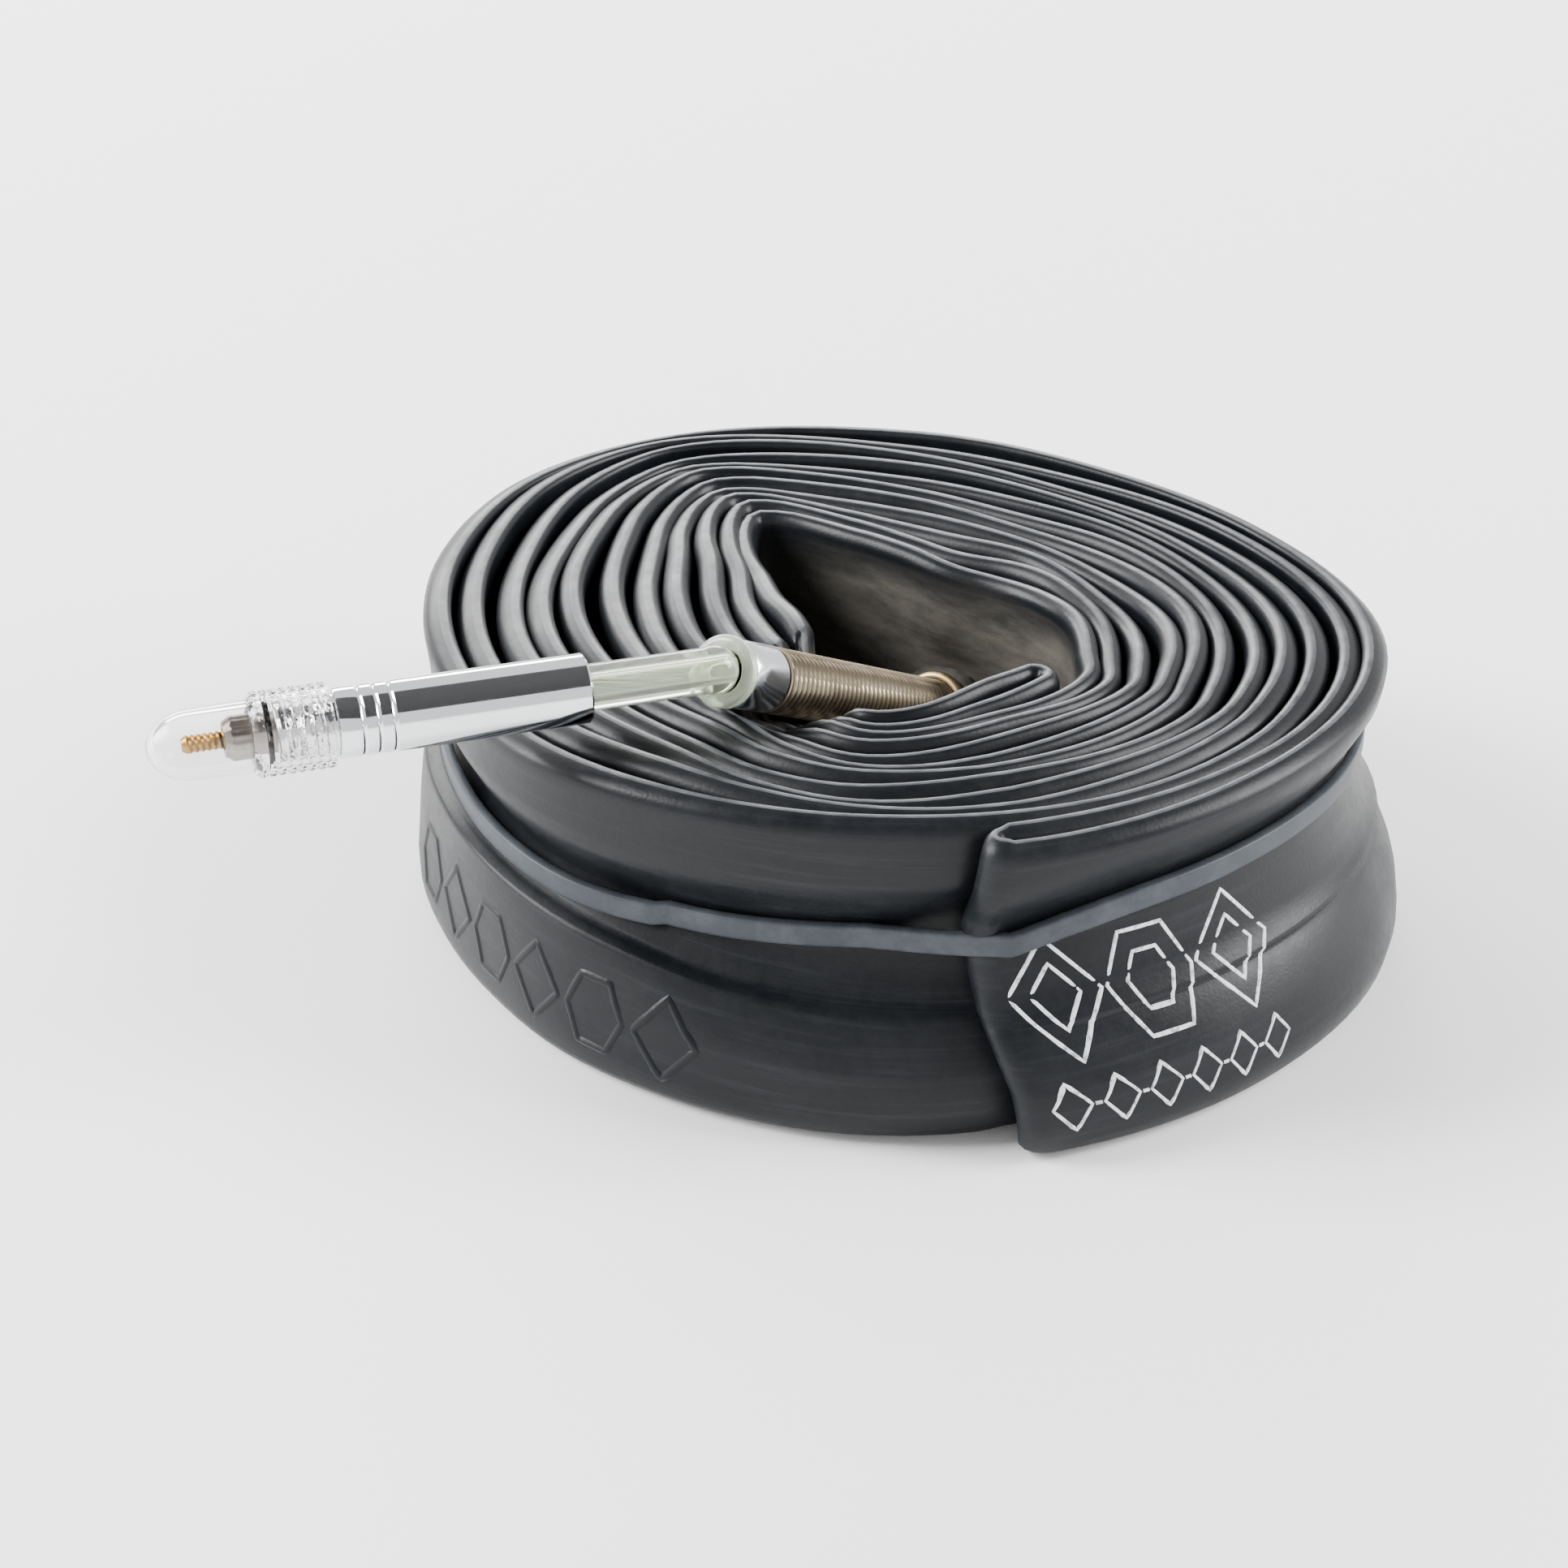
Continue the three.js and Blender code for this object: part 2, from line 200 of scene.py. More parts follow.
def along_table(table, at):
    """A straight reading of a height table."""
    for (low, start), (high, end) in zip(table, table[1:]):
        if at <= high:
            return start + (end - start) * max(0.0, at - low) / (high - low)
    return table[-1][1]


def round_table(table, angle):
    """A smooth reading of a closed table of degrees and millimetres."""
    degrees = math.degrees(angle) % 360
    count = len(table)
    after = next((i for i, row in enumerate(table) if row[0] > degrees), 0)
    before, low, high, beyond = [table[(after + step) % count] for step in (-2, -1, 0, 1)]
    span = (high[0] - low[0]) % 360
    t = ((degrees - low[0]) % 360) / span
    slope_in = (high[1] - before[1]) / ((high[0] - before[0]) % 360) * span
    slope_out = (beyond[1] - low[1]) / ((beyond[0] - low[0]) % 360) * span
    return ((2 * t ** 3 - 3 * t ** 2 + 1) * low[1] + (t ** 3 - 2 * t ** 2 + t) * slope_in
            + (3 * t ** 2 - 2 * t ** 3) * high[1] + (t ** 3 - t ** 2) * slope_out)


def smooth(low, high, at):
    t = min(1.0, max(0.0, (at - low) / (high - low)))
    return t * t * (3 - 2 * t)


def layer_gap(angle):
    """The distance between neighbouring layers of the roll at an angle, in millimetres."""
    return (round_table(ROLL_OUTLINE, angle) - round_table(HOLLOW_OUTLINE, angle) - 2.0) / 10.6


def spiral_point(turned, layer):
    """A point on a layer's centre line, after turning so far from the outer fold."""
    angle = FOLD_ANGLE + turned
    gap = layer_gap(angle)
    share = (turned % math.tau) / math.tau
    lift = 1.1 * gap * smooth(0, 0.56, share) * (1 - smooth(0.78, 1, share))
    sway = 0.10 * gap * math.sin(2 * angle + 2.1 * layer) + 0.06 * gap * math.sin(5 * angle + 1.3 * layer)
    sway *= smooth(0, 0.05, share) * (1 - smooth(0.95, 1, share))
    radius = round_table(ROLL_OUTLINE, angle) - 1.1 + lift - (layer + 2 * share) * gap + sway
    return Vector((math.cos(angle), math.sin(angle), 0)) * radius * MM


def spiral_stretch(total, first_layer):
    """The centre line of one of the two strands. Each row is a point, how deep in the roll it lies,
    and how far it has turned since the outer fold."""
    count = round(total / math.radians(3.0))
    stretch = []
    for i in range(count + 1):
        turned = total * i / count
        winding = int(turned / math.tau + 1e-9)
        depth = first_layer + 2 * turned / math.tau
        stretch.append((spiral_point(turned, first_layer + 2 * winding), depth, turned))
    return stretch


def turn_back(start, end, bulge, depth, turned):
    """The rounded end where one strand turns back into the other."""
    middle = (start + end) / 2
    reach = (end - start) / 2
    angles = [math.pi * i / 8 for i in range(1, 8)]
    return [(middle - reach * math.cos(a) + bulge * math.sin(a), depth, turned) for a in angles]


def tube_route():
    """The closed centre line of the flat tube: in, round the hollow, and out again."""
    inner_total = DOUBLE_TURNS * math.tau + INNER_FOLD
    inward = spiral_stretch(inner_total + math.tau, 0)
    outward = spiral_stretch(inner_total, 1)[::-1]
    ahead = (inward[-1][0] - inward[-2][0]).normalized() * 1.3 * MM
    behind = (inward[0][0] - inward[1][0]).normalized() * 1.5 * MM
    inner_turn = turn_back(inward[-1][0], outward[0][0], ahead, 2.0 * DOUBLE_TURNS + 2, inner_total)
    outer_turn = turn_back(outward[-1][0], inward[0][0], behind, 0.5, 0.0)
    return inward + inner_turn + outward + outer_turn


STEM_RADIUS = 3.0 * MM


def press_under_stem(place):
    """The layers' top edges are pressed down where the stem lies across them."""
    flat = Vector((STEM_AXIS.x, STEM_AXIS.y, 0))
    level = flat.normalized()
    offset = Vector((place.x - STEM_BASE.x, place.y - STEM_BASE.y, 0))
    ahead = offset.dot(level)
    aside = offset.x * level.y - offset.y * level.x
    start, end = (2.3 * MM, 3.5 * MM) if aside > 0 else (2.8 * MM, 9.0 * MM)
    centre = STEM_BASE.z + ahead / flat.length * STEM_AXIS.z
    under = centre - (STEM_RADIUS + 0.4 * MM) / flat.length
    near = (1 - smooth(start, end, abs(aside))) * smooth(2 * MM, 12 * MM, ahead)
    if near > 0 and under < TUBE_WIDTH:
        place.z *= 1 - near * (1 - max(0.3, under / TUBE_WIDTH))
    return place


def wall_push(angle, height):
    """How far the wall stands out from upright, in millimetres: foot, creased lip, waist and rim."""
    flare = round_table(FLARE_TABLE, angle)
    crease = round_table(CREASE_TABLE, angle)
    band = round_table(BAND_TABLE, angle)
    lip = round_table(LIP_TABLE, angle)
    profile = [
        (0, 0.5 * flare), (0.8, 0.85 * flare), (3.5, flare), (crease * 0.62, 0.84 * flare),
        (crease - 1.2, 0.42 * flare + 0.4 * lip), (crease - 0.2, 0.24 * flare + 0.6 * lip),
        (crease + 0.2, 0.18 * flare - 0.7 * lip), (crease + 2.2, -0.7 - 0.7 * lip), (band - 1.3, -2.0),
        (band, -2.3), (band + 1.3, -2.0), (band + 3, -1.1), (band + 5.5, 0.1), (28, 0.3), (29, -0.3),
    ]
    return along_table(profile, height / MM)


def row_height(step, angle):
    """The height of a row up the side of the flat tube, which keeps close to the crease."""
    crease = round_table(CREASE_TABLE, angle)
    if step < len(ROWS_BELOW):
        return ROWS_BELOW[step] * (crease - 0.7) * MM
    step -= len(ROWS_BELOW)
    if step < len(ROWS_ACROSS):
        return (crease + ROWS_ACROSS[step]) * MM
    low = crease + ROWS_ACROSS[-1]
    return (low + ROWS_ABOVE[step - len(ROWS_ACROSS)] * (29 - low)) * MM


def skin_point(point, outward, depth, turned, height, side, lift=0.0):
    """A point on the flat tube's skin: side is 1 outside and -1 inside, lift stands off the skin."""
    edge = min(height, TUBE_WIDTH - height)
    angle = math.atan2(point.y, point.x)
    swell = min(1.85, 0.475 * layer_gap(angle)) * MM
    thick = WALL_MIDDLE + (swell - WALL_MIDDLE) * math.exp(-edge / (3.2 * MM))
    cap = 1.5 * MM
    if edge < cap:
        thick *= math.sqrt(max(0.0, 1 - (1 - edge / cap) ** 2))
    layer = max(0.0, depth - 2 * ((angle - FOLD_ANGLE) % math.tau) / math.tau)
    push = wall_push(angle, height) * (1 - smooth(0.8, 7, layer))
    flat = point + outward * (thick + lift) * side + point.normalized() * push * MM
    lean = along_table(LEAN_PROFILE, height / MM) / 44 * (1 - smooth(0.05, 0.7, turned))
    place = ROLL_CENTRE + Matrix.Rotation(lean, 3, "Z") @ flat
    dip = 0.30 * (1 + math.sin(1.7 * depth + 3 * angle)) * smooth(0.5, 1, height / TUBE_WIDTH)
    place.z = height - dip * MM
    return press_under_stem(place)


def route_outward(route, i):
    before = route[(i - 1) % len(route)][0]
    after = route[(i + 1) % len(route)][0]
    return Vector((after.y - before.y, before.x - after.x, 0)).normalized()


def mapped_grid(columns, rows, place_of, uv_of=None):
    """A grid whose corners are carried to the points that place_of gives, then welded."""
    shape = bmesh.new()
    bmesh.ops.create_grid(shape, x_segments=columns, y_segments=rows, size=0.5)
    steps = {vertex: (round((vertex.co.x + 0.5) * columns), round((vertex.co.y + 0.5) * rows))
             for vertex in shape.verts}
    if uv_of:
        layer = shape.loops.layers.uv.new("along")
        for face in shape.faces:
            for loop in face.loops:
                loop[layer].uv = uv_of(*steps[loop.vert])
    for vertex, (i, j) in steps.items():
        vertex.co = place_of(i, j)
    bmesh.ops.remove_doubles(shape, verts=shape.verts, dist=1e-7)
    bmesh.ops.recalc_face_normals(shape, faces=shape.faces)
    return shape


def wound_tube():
    route = tube_route()
    outwards = [route_outward(route, i) for i in range(len(route))]
    lengths = [0.0]
    for here, there in zip(route, route[1:] + route[:1]):
        lengths.append(lengths[-1] + (there[0] - here[0]).length)

    def place_of(i, j):
        point, depth, turned = route[i % len(route)]
        half = j % (2 * SECTION_HALF)
        side, step = (1, half) if half <= SECTION_HALF else (-1, 2 * SECTION_HALF - half)
        height = row_height(step, math.atan2(point.y, point.x))
        return skin_point(point, outwards[i % len(route)], depth, turned, height, side)

    rows = 2 * SECTION_HALF
    return mapped_grid(len(route), rows, place_of, lambda i, j: (lengths[i], j / rows * 2 * TUBE_WIDTH))


def mixed_colour(tree, factor, under, over):
    mix = tree.nodes.new("ShaderNodeMix")
    mix.data_type = "RGBA"
    link_or_set(tree, mix.inputs[0], factor)
    link_or_set(tree, mix.inputs[6], under if isinstance(under, bpy.types.NodeSocket) else (*under, 1))
    link_or_set(tree, mix.inputs[7], over if isinstance(over, bpy.types.NodeSocket) else (*over, 1))
    return mix.outputs[2]


def ranged(tree, value, low, high, to_low=0.0, to_high=1.0):
    """A value carried from one range to another, and held at its ends."""
    node = add_node(tree, "ShaderNodeMapRange", Value=value, From_Min=low, From_Max=high)
    node.inputs["To Min"].default_value = to_low
    node.inputs["To Max"].default_value = to_high
    return node.outputs["Result"]


def times(tree, one, other):
    node = tree.nodes.new("ShaderNodeMath")
    node.operation = "MULTIPLY"
    link_or_set(tree, node.inputs[0], one)
    link_or_set(tree, node.inputs[1], other)
    return node.outputs[0]


def scaled_noise(tree, vector, scale, size, detail):
    """Noise on a stretched pattern space."""
    stretched = add_node(tree, "ShaderNodeMapping", Vector=vector)
    stretched.inputs["Scale"].default_value = scale
    return add_node(tree, "ShaderNodeTexNoise", Vector=stretched.outputs["Vector"], Scale=size, Detail=detail,
                    Roughness=0.65).outputs["Fac"]


def new_group(name, takes, gives):
    """A shader node group with its named inputs and outputs, each with its kind of socket."""
    group = bpy.data.node_groups.new(name, "ShaderNodeTree")
    for side, sockets in (("INPUT", takes), ("OUTPUT", gives)):
        for label, kind in sockets.items():
            group.interface.new_socket(label, in_out=side, socket_type="NodeSocket" + kind)
    return group, group.nodes.new("NodeGroupInput").outputs, group.nodes.new("NodeGroupOutput").inputs


def placed_group(tree, group, **inputs):
    """A node group placed in a material with its own values. Gives back its outputs."""
    node = tree.nodes.new("ShaderNodeGroup")
    node.node_tree = group
    for name, value in inputs.items():
        link_or_set(tree, node.inputs[name.replace("_", " ")], value)
    return node.outputs


def bloom_group():
    """Cloudy bloom on rubber: a patchy mask and fine grain, both from a position."""
    takes = {"Vector": "Vector", "Patch Scale": "Float"}
    group, inside, outside = new_group("rubber_bloom", takes, {"Mask": "Float", "Grain": "Float"})
    place = inside["Vector"]
    cloud = add_node(group, "ShaderNodeTexNoise", Vector=place, Scale=inside["Patch Scale"], Detail=7.0,
                     Roughness=0.65).outputs["Fac"]
    speck = add_node(group, "ShaderNodeTexNoise", Vector=place, Scale=900.0, Detail=2.0, Roughness=0.7)
    blend = group.nodes.new("ShaderNodeMath")
    blend.operation = "MULTIPLY_ADD"
    blend.inputs[1].default_value = 0.75
    group.links.new(cloud, blend.inputs[0])
    group.links.new(times(group, speck.outputs["Fac"], 0.25), blend.inputs[2])
    grain = add_node(group, "ShaderNodeTexNoise", Vector=place, Scale=3200.0, Detail=3.0)
    group.links.new(ranged(group, blend.outputs[0], 0.44, 0.66), outside["Mask"])
    group.links.new(grain.outputs["Fac"], outside["Grain"])
    return group


RUBBER_BLOOM = bloom_group()


def hollow_dust(tree, place, along):
    """Smears of talc in the middle of the roll, where nothing has rubbed the moulding's dust away."""
    centred = add_node(tree, "ShaderNodeMapping", Vector=place)
    centred.inputs["Location"].default_value = -ROLL_CENTRE
    centred.inputs["Scale"].default_value = (1, 1, 0)
    reach = tree.nodes.new("ShaderNodeVectorMath")
    reach.operation = "LENGTH"
    tree.links.new(centred.outputs["Vector"], reach.inputs[0])
    near = ranged(tree, reach.outputs["Value"], 27 * MM, 12 * MM)
    height = add_node(tree, "ShaderNodeSeparateXYZ", Vector=place).outputs["Z"]
    near = times(tree, near, ranged(tree, height, 27.6 * MM, 24 * MM))
    smear = ranged(tree, scaled_noise(tree, along, (90, 420, 1), 1.0, 7.0), 0.36, 0.64, 0.3, 1.0)
    return times(tree, near, smear)


def top_edge_highlight(tree, place, along):
    """A thin painted highlight along the top edge of the flat tube, broken up by noise."""
    across = add_node(tree, "ShaderNodeSeparateXYZ", Vector=along).outputs["Y"]
    off_edge = tree.nodes.new("ShaderNodeMath")
    off_edge.operation = "COMPARE"
    tree.links.new(across, off_edge.inputs[0])
    off_edge.inputs[1].default_value = TUBE_WIDTH
    off_edge.inputs[2].default_value = 0.75 * MM
    # the noise breaks the painted highlight into patches
    worn = add_node(tree, "ShaderNodeTexNoise", Vector=place, Scale=420.0, Detail=5.0).outputs["Fac"]
    return times(tree, off_edge.outputs[0], ranged(tree, worn, 0.25, 0.75, 0.2, 1.0))


def rubber_finish(name, colour, dust, patch_scale, rough):
    """Dull rubber: cloudy bloom over the base colour, with a fine grain."""
    material, tree, shader = new_finish(name)
    shader.inputs["Specular IOR Level"].default_value = 0.20
    place = tree.nodes.new("ShaderNodeTexCoord").outputs["Object"]
    bloom = placed_group(tree, RUBBER_BLOOM, Vector=place, Patch_Scale=patch_scale)
    mask = bloom["Mask"]
    tree.links.new(mixed_colour(tree, mask, colour, dust), shader.inputs["Base Color"])
    tree.links.new(ranged(tree, mask, 0, 1, rough, rough + 0.14), shader.inputs["Roughness"])
    bump = add_node(tree, "ShaderNodeBump", Strength=0.35, Distance=0.00005, Height=bloom["Grain"])
    tree.links.new(bump.outputs["Normal"], shader.inputs["Normal"])
    return material


def tube_finish():
    """The tube's rubber, which also has fine lengthwise streaks, a painted highlight along its top edges and
    a dusty hollow.
    """
    material = rubber_finish("tube_rubber", (0.0044, 0.0055, 0.0072), (0.0088, 0.0100, 0.0120), 60.0, 0.33)
    tree = material.node_tree
    shader = tree.nodes["Principled BSDF"]
    corners = tree.nodes.new("ShaderNodeTexCoord")
    place, along = corners.outputs["Object"], corners.outputs["UV"]
    streak = ranged(tree, scaled_noise(tree, along, (45, 1700, 1), 1.0, 5.0), 0.52, 0.72, 0.0, 0.45)
    skin = shader.inputs["Base Color"].links[0].from_socket
    skin = mixed_colour(tree, streak, skin, (0.022, 0.024, 0.027))
    skin = mixed_colour(tree, hollow_dust(tree, place, along), skin, (0.120, 0.112, 0.096))
    # painted highlight: a lighter line along the top edges of the flat tube
    skin = mixed_colour(tree, top_edge_highlight(tree, place, along), skin, (0.088, 0.093, 0.101))
    tree.links.new(skin, shader.inputs["Base Color"])
    return material


def place_piece(piece, body, slot, *nodes):
    """The piece rides on its body and stands for its CAD nodes, which it hides. slot is not used."""
    if nodes:
        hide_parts(*nodes)
    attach(piece, body)


TUBE_RUBBER = tube_finish()
tube = add_object("wound_tube", wound_tube(), TUBE_RUBBER, math.pi)
place_piece(tube, "roll", "tube_rubber", "rubber_tube")

# ---------------------------------------------------------------- marks on the tube
# The tube carries a printed size mark beside the fold and a moulded one on its other side. Both
# are plain shapes here: white ink lies on the skin, and the moulded mark stands out of it.


def outer_skin(along, height, lift, start_turn):
    """A point on the outside layer: along is in metres from a turn past the fold."""
    step = 1.0 * MM / (44 * MM)
    turned = start_turn + along / (44 * MM)
    winding = int(turned / math.tau)
    layer = 2 * winding
    here = spiral_point(turned, layer)
    ahead = spiral_point(turned + step, layer)
    outward = Vector((ahead.y - here.y, here.x - ahead.x, 0)).normalized()
    depth = 2 * turned / math.tau
    return skin_point(here, outward, depth, turned, height, 1, lift)


def finer(points, closed, longest):
    """The same outline with no stretch longer than a limit."""
    ends = points + points[:1] if closed else points
    result = []
    for (x0, y0), (x1, y1) in zip(ends, ends[1:]):
        count = max(1, math.ceil(math.hypot(x1 - x0, y1 - y0) / longest))
        result += [(x0 + (x1 - x0) * i / count, y0 + (y1 - y0) * i / count) for i in range(count)]
    return result if closed else result + [ends[-1]]


def stroke(points, closed, width, heights, start_turn):
    """A narrow ribbon on the skin along an outline, with a height across it for each edge."""
    path = finer(points, closed, 0.5 * MM)
    count = len(path)
    offsets = []
    for i in range(count):
        before = path[(i - 1) % count] if closed or i > 0 else path[i]
        after = path[(i + 1) % count] if closed or i < count - 1 else path[i]
        run = Vector((after[0] - before[0], after[1] - before[1])).normalized()
        offsets.append(Vector((-run.y, run.x)))
    rows = len(heights) - 1

    def place_of(i, j):
        x, y = path[i % count]
        aside = offsets[i % count] * width * (j / rows - 0.5)
        return outer_skin(x + aside.x, y + aside.y, heights[j], start_turn)

    return mapped_grid(count if closed else count - 1, rows, place_of)


def ring_outline(x, y, wide, tall, corners, turn=0.0):
    """An oval or polygon outline about a point."""
    angles = [math.tau * (i + turn) / corners for i in range(corners)]
    return [(x + wide / 2 * math.cos(a), y + tall / 2 * math.sin(a)) for a in angles]


def joined(shapes, name, material):
    """Several small shapes as one object."""
    whole = bmesh.new()
    for shape in shapes:
        mesh = bpy.data.meshes.new(name)
        shape.to_mesh(mesh)
        shape.free()
        whole.from_mesh(mesh)
        bpy.data.meshes.remove(mesh)
    return add_object(name, whole, material)


def printed_mark():
    """The white mark: three large outlines over a chain of six small ones."""
    flat = [-0.10 * MM, 0.05 * MM, 0.06 * MM, 0.05 * MM, -0.10 * MM]
    shapes = []
    for i, x in enumerate((4.2, 12.9, 21.6)):
        for size in (8.2, 4.4):
            outline = ring_outline(x * MM, 13.6 * MM, size * MM, size * 1.18 * MM, 4 if i % 2 == 0 else 6)
            shapes.append(stroke(outline, True, 0.5 * MM, flat, 0.0))
    for i in range(6):
        x = (1.8 + 4.3 * i) * MM
        outline = ring_outline(x, 5.4 * MM, 3.2 * MM, 4.1 * MM, 4)
        shapes.append(stroke(outline, True, 0.42 * MM, flat, 0.0))
        if i < 5:
            dash = [(x + 1.85 * MM, 5.4 * MM), (x + 2.45 * MM, 5.4 * MM)]
            shapes.append(stroke(dash, False, 0.45 * MM, flat, 0.0))
    return shapes


def moulded_mark():
    """The raised mark: six outlines in low relief."""
    ridge = [-0.06 * MM, 0.10 * MM, 0.16 * MM, 0.10 * MM, -0.06 * MM]
    shapes = []
    for i in range(6):
        outline = ring_outline(7.6 * i * MM, 6.7 * MM, 6.4 * MM, 7.4 * MM, 4 if i % 2 else 6)
        shapes.append(stroke(outline, True, 0.9 * MM, ridge, 4.74))
    return shapes


def ink_finish():
    """White ink, thin and worn in specks."""
    material, tree, shader = new_finish("white_ink")
    place = tree.nodes.new("ShaderNodeTexCoord").outputs["Object"]
    wear = add_node(tree, "ShaderNodeTexNoise", Vector=place, Scale=1800.0, Detail=4.0).outputs["Fac"]
    thin = ranged(tree, wear, 0.30, 0.50)
    white = mixed_colour(tree, thin, (0.22, 0.23, 0.24), (0.72, 0.74, 0.76))
    tree.links.new(white, shader.inputs["Base Color"])
    shader.inputs["Roughness"].default_value = 0.6
    return material


place_piece(joined(printed_mark(), "printed_mark", ink_finish()), "roll", "tube_rubber")
place_piece(joined(moulded_mark(), "moulded_mark", TUBE_RUBBER), "roll", "tube_rubber")

# ---------------------------------------------------------------- the elastic band
# A thin grey rubber band round the roll's waist. It is cut from a flat sheet, so its section is a
# slim rectangle, and it bridges the step at the outer fold.

BAND_HEIGHT = 2.1 * MM
BAND_THICKNESS = 1.0 * MM
BAND_STEPS = 240


def skin_reach(turned, height):
    """How far out the roll's skin lies there."""
    return (outer_skin(0, height, 0, turned) - ROLL_CENTRE).xy.length


def band_middle(turned):
    return round_table(BAND_TABLE, FOLD_ANGLE + turned) * MM


def band_reach(turned):
    """How far out the band's inner side lies, counting the bridge over the step at the fold."""
    middle = band_middle(turned)
    reach = max(skin_reach(turned % math.tau, middle + z) for z in (-BAND_HEIGHT / 2, BAND_HEIGHT / 2))
    bridge = math.radians(34)
    before_fold = math.tau - turned % math.tau
    if before_fold < bridge:
        near = skin_reach(0.03, band_middle(0.03))
        far = skin_reach(math.tau - bridge, band_middle(-bridge))
        chord = near * far * math.sin(bridge)
        chord /= near * math.sin(before_fold) + far * math.sin(bridge - before_fold)
        reach = max(reach, chord)
    return reach


def elastic_band():
    section = []
    for i in range(16):
        a = math.tau * i / 16
        x = math.copysign(abs(math.cos(a)) ** 0.35, math.cos(a)) * BAND_THICKNESS / 2
        y = math.copysign(abs(math.sin(a)) ** 0.35, math.sin(a)) * BAND_HEIGHT / 2
        section.append((x, y))

    def place_of(i, j):
        turned = math.tau * (i % BAND_STEPS) / BAND_STEPS
        angle = FOLD_ANGLE + turned
        x, y = section[j % 16]
        reach = band_reach(turned) + BAND_THICKNESS / 2 + 0.1 * MM + x
        rise = band_middle(turned) + y
        return ROLL_CENTRE + Vector((math.cos(angle) * reach, math.sin(angle) * reach, rise))

    return mapped_grid(BAND_STEPS, 16, place_of)


BAND_RUBBER = rubber_finish("band_rubber", (0.036, 0.042, 0.049), (0.058, 0.066, 0.074), 240.0, 0.40)
band = add_object("waist_band", elastic_band(), BAND_RUBBER, math.pi)
place_piece(band, "roll", "band_rubber", "elastic_band")

# ---------------------------------------------------------------- the valve stem
# A turned brass stem with a dull nickel plate and a rolled fine thread. Its foot is bonded into a
# rubber patch on the tube's wall, under a bare brass washer.

ROUND_STEPS = 72


def turned_piece(profile, start, axis, ripple=None):
    """A profile of radius and height in millimetres, spun about an axis from a start point.
    ripple moves the surface in or out by angle, height and radius, as knurls and threads do."""
    shape = bmesh.new()
    corners = [shape.verts.new((radius * MM, 0, height * MM)) for radius, height in profile]
    open_ended = profile[0][0] == 0
    pairs = list(zip(corners, corners[1:])) + ([] if open_ended else [(corners[-1], corners[0])])
    edges = [shape.edges.new(pair) for pair in pairs]
    bmesh.ops.spin(shape, geom=corners + edges, cent=(0, 0, 0), axis=(0, 0, 1), angle=math.tau,
                   steps=ROUND_STEPS, use_merge=True)
    bmesh.ops.remove_doubles(shape, verts=shape.verts, dist=1e-7)
    if ripple:
        for vertex in shape.verts:
            radius = vertex.co.xy.length
            if radius > 0:
                change = ripple(math.atan2(vertex.co.y, vertex.co.x), vertex.co.z / MM, radius / MM)
                vertex.co.xy *= (radius + change * MM) / radius
    bmesh.ops.recalc_face_normals(shape, faces=shape.faces)
    turn = axis.to_track_quat("Z", "Y").to_matrix().to_4x4()
    bmesh.ops.transform(shape, matrix=Matrix.Translation(start) @ turn, verts=shape.verts)
    return shape


def threaded_stretch(radius, start, end, pitch):
    """Profile points close enough together to carry a thread."""
    count = round((end - start) / pitch * 8)
    return [(radius, start + (end - start) * i / count) for i in range(count + 1)]


def thread_ripple(start, end, pitch, depth, crest):
    """A helical thread on the outside of that stretch, fading out over half a turn at its ends."""
    def ripple(angle, height, radius):
        if radius < crest - 0.05 or not start < height < end:
            return 0.0
        phase = (height / pitch - angle / math.tau) % 1
        fade = min(1.0, (height - start) / pitch * 2, (end - height) / pitch * 2)
        return -depth * (1 - abs(2 * phase - 1)) ** 0.8 * fade
    return ripple


def stem_shape():
    profile = [(1.2, -2.7), (3.9, -2.7), (4.0, -2.6), (4.0, -1.8), (3.9, -1.7), (3.0, -1.7)]
    profile += threaded_stretch(3.0, 1.0, 31.5, 0.79)
    profile += [(3.0, 31.7), (2.9, 31.8), (2.25, 31.8), (2.25, 34.9), (1.2, 34.9)]
    return turned_piece(profile, STEM_BASE, STEM_AXIS, thread_ripple(1.0, 31.5, 0.79, 0.38, 3.0))


def wear_group():
    """Wear on metal: a mask of stains, the cloud behind it for the gloss, and a fine grain."""
    takes = {"Vector": "Vector", "Stain Scale": "Float"}
    gives = {"Stain": "Float", "Haze": "Float", "Grain": "Float"}
    group, inside, outside = new_group("metal_wear", takes, gives)
    cloud = add_node(group, "ShaderNodeTexNoise", Vector=inside["Vector"], Scale=inside["Stain Scale"],
                     Detail=6.0, Roughness=0.7).outputs["Fac"]
    grain = add_node(group, "ShaderNodeTexNoise", Vector=inside["Vector"], Scale=4000.0, Detail=2.0)
    group.links.new(ranged(group, cloud, 0.42, 0.68), outside["Stain"])
    group.links.new(cloud, outside["Haze"])
    group.links.new(grain.outputs["Fac"], outside["Grain"])
    return group


METAL_WEAR = wear_group()


def metal_finish(name, colour, stain, rough, rough_spread, stain_scale, grain_depth):
    """Plated or bare metal: stains, uneven gloss and fine turning marks."""
    material, tree, shader = new_finish(name)
    place = tree.nodes.new("ShaderNodeTexCoord").outputs["Object"]
    wear = placed_group(tree, METAL_WEAR, Vector=place, Stain_Scale=stain_scale)
    tree.links.new(mixed_colour(tree, wear["Stain"], colour, stain), shader.inputs["Base Color"])
    gloss = ranged(tree, wear["Haze"], 0, 1, rough, rough + rough_spread)
    tree.links.new(gloss, shader.inputs["Roughness"])
    bump = add_node(tree, "ShaderNodeBump", Strength=0.2, Distance=grain_depth, Height=wear["Grain"])
    tree.links.new(bump.outputs["Normal"], shader.inputs["Normal"])
    shader.inputs["Metallic"].default_value = 1.0
    return material


